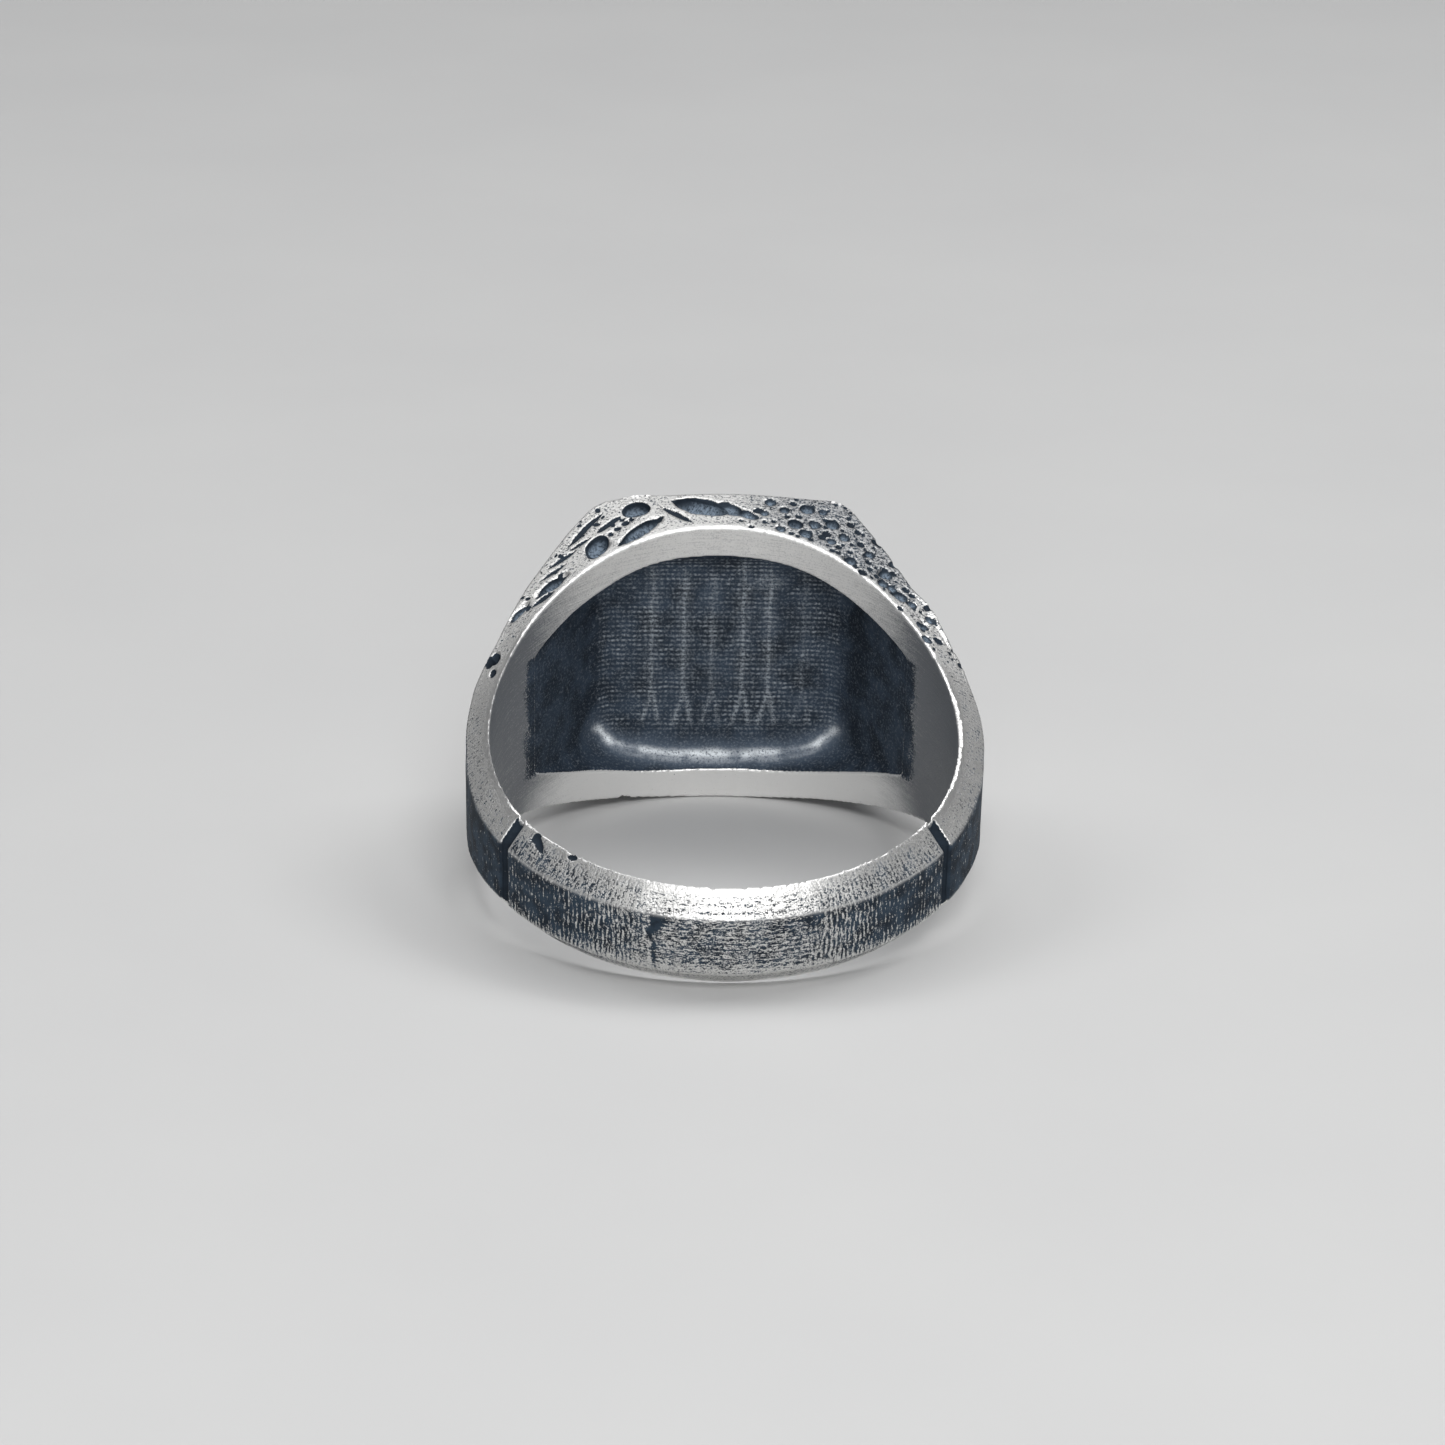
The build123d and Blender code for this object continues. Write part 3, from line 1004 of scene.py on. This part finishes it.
    # painted glow around the highlight
    black = g.colours(g.math("MULTIPLY", painted_glow, g.math("ADD", grain, 0.25)), black, PAINTED_GLOW_BLUE)
    black = g.colours(marks, black, RULE_LIGHT)
    # painted highlight in the hollow's lower corner
    shining = g.math("MULTIPLY", painted_bead_highlight, g.between(g.math("ADD", speck, grain), 0.65, 1.05))
    black = g.colours(shining, black, PAINTED_HIGHLIGHT_WHITE)
    loose_grain = g.math("MULTIPLY_ADD", loose, 1.6, g.math("MULTIPLY_ADD", grain, 1.4, -0.7))
    ragged = g.between(g.math("ADD", g.attribute("run_out"), loose_grain), 0.35, 0.6)
    stain = g.math("MAXIMUM", g.between(hollow, 0.3, 0.6), ragged)
    colour = g.colours(stain, colour, black)

    dull = g.math("MAXIMUM", tarnish, stain)
    rough = g.math("MULTIPLY_ADD", grain, 0.2, 0.34)
    rough = g.mix(wall, rough, g.math("MULTIPLY_ADD", scratches, 0.2, 0.36))
    rough = g.mix(dull, rough, 0.7)
    rough = g.math("SUBTRACT", rough, g.math("MULTIPLY", wear_and_highlight, 0.08))
    metallic = g.mix(dull, g.mix(wall, 1.0, 0.45), 0.3)
    metallic = g.mix(deep, metallic, 0.05)
    metallic = g.math("ADD", metallic, g.math("MULTIPLY", shining, 0.3), clamp=True)

    height = g.math("MULTIPLY", tarnish, -0.35)
    height = g.math("ADD", height, g.math("MULTIPLY", grain, 0.5))
    height = g.math("ADD", height, g.math("MULTIPLY", speck, 0.35))
    height = g.math("ADD", height, g.math("MULTIPLY", scratches, g.math("MULTIPLY", wall, 0.5)))
    height = g.math("ADD", height, g.math("MULTIPLY", marks, stain))
    bump = g.add(
        "ShaderNodeBump", {"Strength": 0.8, "Distance": BUMP_DEPTH, "Height": height}
    )
    shader = g.add(
        "ShaderNodeBsdfPrincipled",
        {"Base Color": colour, "Roughness": rough, "Normal": bump.outputs[0]},
    )
    g.put(shader.inputs["Metallic"], metallic)
    g.put(shader.inputs["Specular IOR Level"], g.mix(dull, 0.5, 0.15))
    output = g.add("ShaderNodeOutputMaterial")
    g.put(output.inputs[0], shader.outputs[0])
    return material


FINISHES = {
    "head": silver("silver_head"),
    "shank": silver("silver_shank"),
    "solder": silver("silver_solder", extra_film=0.04),
    "joint_dark": silver("joint_dark", extra_cover=0.5, extra_film=0.3),
}
SLOT_OF = {
    "face_plate": "head",
    "head_frame": "head",
    "left_shoulder": "shank",
    "right_shoulder": "shank",
    "shank_back": "shank",
    "plate_solder": "solder",
    "left_shoulder_solder": "solder",
    "right_shoulder_solder": "solder",
    "left_shank_solder": "joint_dark",
    "right_shank_solder": "joint_dark",
}
for node, piece in pieces.items():
    slot = SLOT_OF[node]
    piece.data.materials.append(FINISHES[slot])
    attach(piece, "root")
    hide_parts(node)

# ---------------------------------------------------------------- the stage

FLOOR_HALF = 3.0
FLOOR_TONES = ((0.55, 0.55, 0.55, 1), (0.59, 0.59, 0.585, 1))
WORLD_COLOUR, WORLD_STRENGTH = (0.5, 0.51, 0.53, 1), 0.24
floor_mesh = bpy.data.meshes.new("floor")
floor_mesh.from_pydata(
    [(x * FLOOR_HALF, y * FLOOR_HALF, 0) for x, y in ((-1, -1), (1, -1), (1, 1), (-1, 1))],
    [],
    [(0, 1, 2, 3)],
)
floor = bpy.data.objects.new("floor", floor_mesh)
bpy.context.scene.collection.objects.link(floor)
floor_material = bpy.data.materials.new("floor_pale")
g = Graph(floor_material)
where = g.add("ShaderNodeTexCoord").outputs["Object"]
mottle = g.noise(where, 60, 3)
pale = g.colours(mottle, *FLOOR_TONES)
shader = g.add("ShaderNodeBsdfPrincipled", {"Base Color": pale, "Roughness": 0.6})
output = g.add("ShaderNodeOutputMaterial")
g.put(output.inputs[0], shader.outputs[0])
floor_mesh.materials.append(floor_material)

world = bpy.data.worlds.new("studio")
world.use_nodes = True
background = world.node_tree.nodes["Background"]
background.inputs["Color"].default_value = WORLD_COLOUR
background.inputs["Strength"].default_value = WORLD_STRENGTH
bpy.context.scene.world = world


def direction(azimuth, elevation):
    """From the ring outwards; azimuth 0 is the camera's side."""
    a, e = math.radians(azimuth), math.radians(elevation)
    return Vector((math.sin(a) * math.cos(e), -math.cos(a) * math.cos(e), math.sin(e)))


def softbox(name, azimuth, elevation, distance, size, power):
    """A square area light aimed at the ring."""
    way = direction(azimuth, elevation)
    light = bpy.data.lights.new(name, "AREA")
    light.size = size
    light.energy = power
    lamp = bpy.data.objects.new(name, light)
    lamp.location = Vector(CENTRE) + way * distance
    lamp.rotation_euler = way.to_track_quat("Z", "Y").to_euler()
    bpy.context.scene.collection.objects.link(lamp)


# name, azimuth, elevation, distance, size and power
SOFTBOXES = (
    ("key", 8, 48, 0.35, 0.16, 0.62),
    ("top", -10, 108, 0.4, 0.3, 0.56),
    ("left", -110, 52, 0.4, 0.16, 0.3),
    ("right", 110, 52, 0.4, 0.16, 0.45),
    ("front", 0, 14, 0.4, 0.16, 0.5),
)
for row in SOFTBOXES:
    softbox(*row)

# ---------------------------------------------------------------- the camera

AZIMUTH, ELEVATION, ROLL = -1.667, 22.05, 0.914
DISTANCE, AIM_ABOVE = 0.220, 0.00307
LENS, SENSOR = 128.7, 36.0
NEAR, FAR = 0.01, 20.0
back = direction(AZIMUTH, ELEVATION)
position = Vector(CENTRE) + back * DISTANCE
level_right = (-back).cross(Vector((0, 0, 1))).normalized()
level_up = level_right.cross(-back)
roll = math.radians(ROLL)
up = level_up * math.cos(roll) - level_right * math.sin(roll)
aim = Vector(CENTRE) + up * AIM_ABOVE
z_axis = (position - aim).normalized()
x_axis = up.cross(z_axis).normalized()
y_axis = z_axis.cross(x_axis)
camera_data = bpy.data.cameras.new("camera")
camera_data.lens = LENS
camera_data.sensor_width = SENSOR
camera_data.clip_start = NEAR
camera_data.clip_end = FAR
camera = bpy.data.objects.new("camera", camera_data)
camera.matrix_world = Matrix.Translation(position) @ Matrix(
    (x_axis, y_axis, z_axis)
).transposed().to_4x4()
bpy.context.scene.collection.objects.link(camera)
bpy.context.scene.camera = camera
bpy.context.scene.view_settings.view_transform = "Standard"
